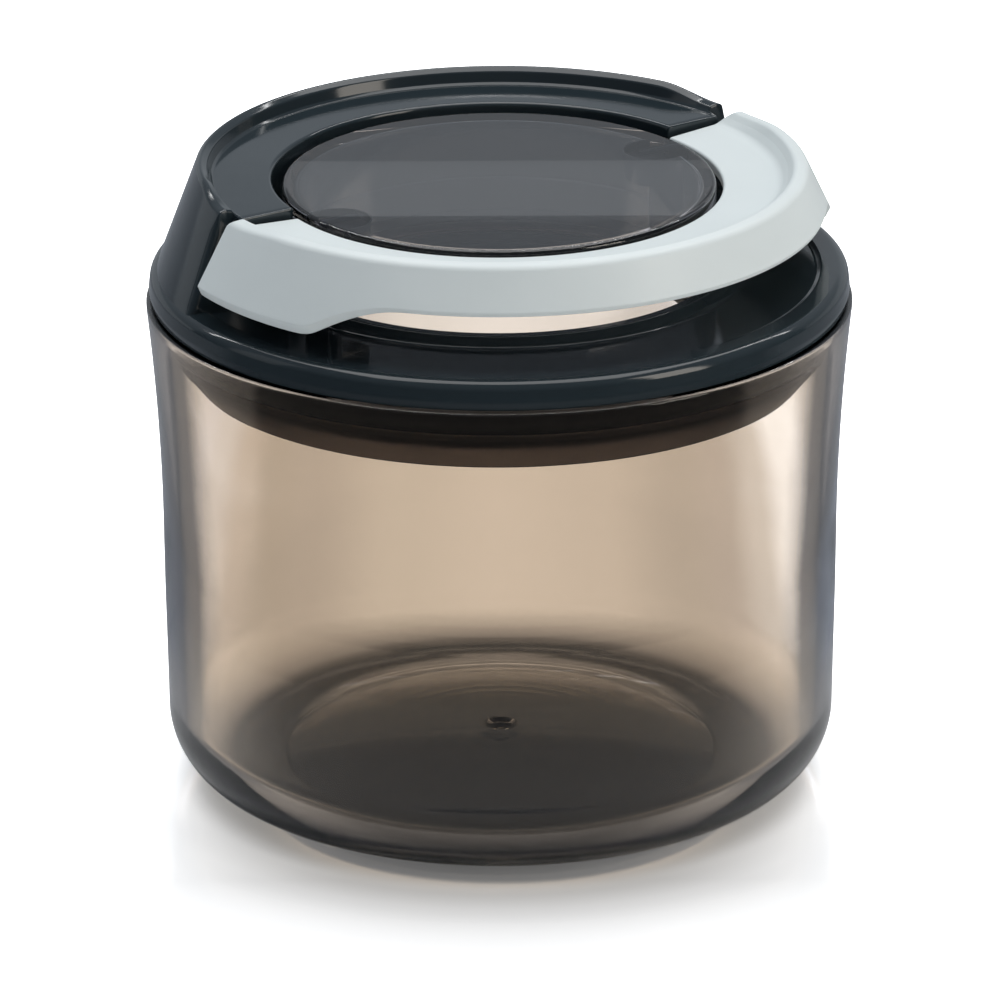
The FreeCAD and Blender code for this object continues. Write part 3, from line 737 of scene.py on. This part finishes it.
floor_me = bpy.data.meshes.new("floor")
n = 24
verts = [((i / n - 0.5) * 3.0, (j / n - 0.5) * 3.0, 0.0) for j in range(n + 1) for i in range(n + 1)]
faces = [(j * (n + 1) + i, j * (n + 1) + i + 1, (j + 1) * (n + 1) + i + 1, (j + 1) * (n + 1) + i)
         for j in range(n) for i in range(n)]
floor_me.from_pydata(verts, [], faces)
floor = bpy.data.objects.new("floor", floor_me)
bpy.context.scene.collection.objects.link(floor)
mat, nt, b, out = new_material("pale_floor")
length = nt.nodes.new("ShaderNodeVectorMath")
length.operation = "LENGTH"
tc = nt.nodes.new("ShaderNodeTexCoord")
nt.links.new(tc.outputs["Object"], length.inputs[0])
radius = remap(nt, length.outputs["Value"], 0.0, 1.0, 0.0, 0.2)
light_path = nt.nodes.new("ShaderNodeLightPath")


def reach_along(direction):
    d = nt.nodes.new("ShaderNodeVectorMath")
    d.operation = "DOT_PRODUCT"
    d.inputs[1].default_value = direction
    nt.links.new(tc.outputs["Object"], d.inputs[0])
    return d.outputs["Value"]


def times(a, c, blend="MULTIPLY"):
    m = nt.nodes.new("ShaderNodeMix")
    m.data_type = "RGBA"
    m.blend_type = blend
    m.inputs[0].default_value = 1.0
    for value, socket in ((a, m.inputs[6]), (c, m.inputs[7])):
        if isinstance(value, tuple):
            socket.default_value = (*value, 1)
        else:
            nt.links.new(value, socket)
    return m.outputs[2]


def grey(*stops):
    return [(pos, (v, v, v)) for pos, v in stops]


forward, across = reach_along(away), reach_along(side)
# white board with a painted contact shadow under the object; in the object's reflections the board is painted darker
# away from the object and behind it
white = ramp(nt, noise(nt, coords(nt), 8.0, 3.0), grey((0.3, 0.90), (0.7, 0.92)))
painted_contact_shadow = ramp(nt, radius, grey((0.0, 0.02), (0.225, 0.02), (0.238, 1.0)))
# painted reflection shade: seen in the object's reflections the board darkens with distance and behind the object
reflected_floor_falloff = ramp(nt, radius, [(0.0, (1, 1, 1)), (0.45, (1, 1, 1)), (0.75, (0.06, 0.065, 0.075))])
painted_reflection_shade = mixed(nt, remap(nt, forward, 1.0, 0.0, -0.06, 0.02), reflected_floor_falloff, (0.27, 0.285, 0.31))
mirror_ray = nt.nodes.new("ShaderNodeMath")
mirror_ray.operation = "SUBTRACT"
mirror_ray.use_clamp = True
nt.links.new(light_path.outputs["Is Glossy Ray"], mirror_ray.inputs[0])
nt.links.new(light_path.outputs["Is Transmission Ray"], mirror_ray.inputs[1])
board = times(white, painted_contact_shadow)
board = mixed(nt, mirror_ray.outputs[0], board, times(board, painted_reflection_shade))
nt.links.new(mixed(nt, light_path.outputs["Is Transmission Ray"], board, (0.0, 0.0, 0.0)), b.inputs["Base Color"])
b.inputs["Roughness"].default_value = 0.5
b.inputs["Specular IOR Level"].default_value = 0.0
# seen directly the board glows with painted light up to pure white, with a painted shadow in front of the object
lift = ramp(nt, radius, grey((0.0, 0.0), (0.235, 0.34), (0.28, 0.34), (0.31, 0.22), (0.35, 0.28), (0.38, 0.36), (0.52, 0.36)))
beside = times(ramp(nt, radius, grey((0.265, 0.0), (0.31, 0.85))),
               ramp(nt, remap(nt, forward, 0.0, 1.0, 0.0, 0.055), grey((0.0, 1.0), (1.0, 0.0))))
lift = times(times(lift, beside, "ADD"), light_path.outputs["Is Camera Ray"])
# seen through the walls the board glows with painted light, brighter in two bands and in the middle, with a painted
# shadow under and in front of the object
spread = nt.nodes.new("ShaderNodeValToRGB")
spread.color_ramp.interpolation = "EASE"
painted_glow_bands = ((0.0, 0.38, 0.38, 0.38), (0.10, 0.40, 0.42, 0.46), (0.188, 0.44, 0.48, 0.57), (0.228, 0.41, 0.44, 0.50),
         (0.268, 0.33, 0.33, 0.34), (0.30, 0.275, 0.275, 0.275), (0.34, 0.28, 0.28, 0.285), (0.42, 0.355, 0.36, 0.365),
         (0.50, 0.385, 0.39, 0.40), (0.58, 0.365, 0.37, 0.38), (0.652, 0.30, 0.305, 0.315), (0.692, 0.31, 0.315, 0.335),
         (0.732, 0.40, 0.43, 0.48), (0.772, 0.66, 0.76, 0.93), (0.812, 0.70, 0.81, 1.0), (0.88, 0.52, 0.58, 0.68),
         (1.0, 0.38, 0.38, 0.38))
for k, (pos, *v) in enumerate(painted_glow_bands):
    el = spread.color_ramp.elements
    spot = el[0] if k == 0 else el[len(el) - 1] if k == len(painted_glow_bands) - 1 else el.new(pos)
    spot.position, spot.color = pos, (*v, 1)
nt.links.new(remap(nt, across, 0.0, 1.0, -0.125, 0.125), spread.inputs["Fac"])
painted_see_through_glow = mixed(nt, remap(nt, forward, 1.0, 0.0, -0.06, -0.03), (0.4, 0.4, 0.4), spread.outputs["Color"])
painted_see_through_glow = times(times(painted_see_through_glow, (3.93, 3.83, 3.84)),
              ramp(nt, radius, [(0.0, (0.003, 0.006, 0.013)), (0.24, (0.004, 0.006, 0.012)), (0.27, (0.36, 0.36, 0.37)),
                             (0.315, (0.72, 0.72, 0.72)), (0.36, (1, 1, 1))]))
painted_see_through_glow = times(painted_see_through_glow, ramp(nt, remap(nt, forward, 0.0, 1.0, 0.025, 0.05), grey((0.0, 1.0), (1.0, 0.2))))
nt.links.new(mixed(nt, light_path.outputs["Is Transmission Ray"], lift, painted_see_through_glow), b.inputs["Emission Color"])
b.inputs["Emission Strength"].default_value = 1.0
mat.cycles.emission_sampling = "NONE"
# the board is polished: the object shows in it close by
gloss = nt.nodes.new("ShaderNodeBsdfGlossy")
gloss.inputs["Roughness"].default_value = 0.07
gloss.inputs["Color"].default_value = (1, 1, 1, 1)
mix = nt.nodes.new("ShaderNodeMixShader")
fade = ramp(nt, radius, grey((0.0, 0.0), (0.226, 0.0), (0.234, 0.80), (0.275, 0.70), (0.30, 0.50), (0.34, 0.30),
                             (0.40, 0.12), (0.48, 0.0)))
fade = times(fade, ramp(nt, remap(nt, forward, 0.0, 1.0, 0.0, 0.055), grey((0.0, 0.30), (1.0, 1.0))))
nt.links.new(times(fade, light_path.outputs["Is Camera Ray"]), mix.inputs["Fac"])
nt.links.new(b.outputs["BSDF"], mix.inputs[1])
nt.links.new(gloss.outputs["BSDF"], mix.inputs[2])
nt.links.new(mix.outputs["Shader"], out.inputs["Surface"])
floor_me.materials.append(mat)
floor.location.z = -0.00005


def lamp(name, pos, target, size, power, colour=(1, 1, 1), spread=180.0):
    light = bpy.data.lights.new(name, "AREA")
    light.shape = "RECTANGLE"
    light.size, light.size_y = size
    light.energy = power
    light.color = colour
    light.spread = math.radians(spread)
    ob = bpy.data.objects.new(name, light)
    bpy.context.scene.collection.objects.link(ob)
    ob.location = pos
    ob.rotation_euler = (Vector(target) - Vector(pos)).to_track_quat("-Z", "Y").to_euler()
    return ob


centre = Vector((0, 0, 0.06))
# broad overhead box, a little behind
top = lamp("overhead", -away * 0.25 + Vector((0, 0, 1.5)), centre, (1.6, 1.6), 24.0)
top.visible_transmission = False
# card behind: its top edge stands where the window's reflection turns darker
lamp("back_card", -away * 1.0 + Vector((0, 0, 0.21)), -away * 0.9 + Vector((0, 0, 0.21)), (4.4, 0.43), 2.25,
     (0.90, 0.95, 1.0))
lamp("step_card", -away * 1.0 + Vector((0, 0, 0.4425)), -away * 0.9 + Vector((0, 0, 0.4425)), (4.4, 0.035), 0.126,
     (0.90, 0.95, 1.0))
lamp("upper_card", -away * 1.05 + Vector((0, 0, 0.92)), -away * 0.95 + Vector((0, 0, 0.92)), (4.4, 0.92), 1.9,
     (0.90, 0.95, 1.0))
# narrow strip high behind: thin glints along rounded edges
strip = lamp("rim_strip", -away * 0.9 + Vector((0, 0, 1.15)), centre, (2.6, 0.035), 4.6)
strip.visible_diffuse = False
strip.visible_transmission = False
# side boxes, the right one warmer
lamp("left_box", -side * 0.9 + away * 0.10 + Vector((0, 0, 0.40)), centre, (0.35, 0.7), 0.25)
warm = lamp("right_box", side * 0.8 + away * 0.5 + Vector((0, 0, 0.40)), centre, (0.35, 0.7), 3.4, (1.0, 0.93, 0.84))
warm.visible_transmission = False
world = bpy.data.worlds.new("studio")
bpy.context.scene.world = world
world.use_nodes = True
wt = world.node_tree
bg = wt.nodes["Background"]
bg.inputs["Strength"].default_value = 1.0
wlp = wt.nodes.new("ShaderNodeLightPath")
wtc = wt.nodes.new("ShaderNodeTexCoord")
sep = wt.nodes.new("ShaderNodeSeparateXYZ")
wt.links.new(wtc.outputs["Generated"], sep.inputs["Vector"])
sky = ramp(wt, remap(wt, sep.outputs["Z"], 0.0, 1.0, -1.0, 1.0),
           [(0.0, (0.03, 0.032, 0.036)), (0.5, (0.06, 0.066, 0.076)), (0.62, (0.12, 0.135, 0.155)),
            (0.80, (0.22, 0.245, 0.28)), (1.0, (0.22, 0.245, 0.28))])
clear = ramp(wt, remap(wt, sep.outputs["Z"], 0.0, 1.0, -1.0, 1.0),
             [(0.0, (1.0, 0.98, 0.98)), (0.5, (1.0, 0.98, 0.98)), (0.62, (0.12, 0.135, 0.155)), (1.0, (0.22, 0.245, 0.28))])
sky = mixed(wt, wlp.outputs["Is Transmission Ray"], sky, clear)
wt.links.new(mixed(wt, wlp.outputs["Is Camera Ray"], sky, (1.1, 1.1, 1.1)), bg.inputs["Color"])

cam_data = bpy.data.cameras.new("camera")
cam = bpy.data.objects.new("camera", cam_data)
bpy.context.scene.collection.objects.link(cam)
cam_data.sensor_width = 36.0
cam_data.sensor_fit = "HORIZONTAL"
cam_data.lens = LENS
cam_data.clip_start, cam_data.clip_end = 0.05, 20.0
e = math.radians(ELEV)
cam.location = (away * math.cos(e) + Vector((0, 0, math.sin(e)))) * DIST * MM + Vector((0, 0, 0.0873))
aim = Vector((0, 0, 0.04955))
rot = (aim - cam.location).to_track_quat("-Z", "Y").to_matrix().to_4x4()
rot = rot @ Matrix.Rotation(math.radians(-0.2), 4, "Z")
cam.rotation_euler = rot.to_euler()
bpy.context.scene.camera = cam

sc = bpy.context.scene
sc.view_settings.view_transform = "Standard"
sc.view_settings.look = "None"
sc.view_settings.exposure = 0.0
sc.cycles.use_denoising = True
sc.cycles.max_bounces = 24
sc.cycles.transmission_bounces = 20
sc.cycles.transparent_max_bounces = 16
sc.cycles.glossy_bounces = 8
sc.cycles.caustics_refractive = True
sc.cycles.caustics_reflective = False
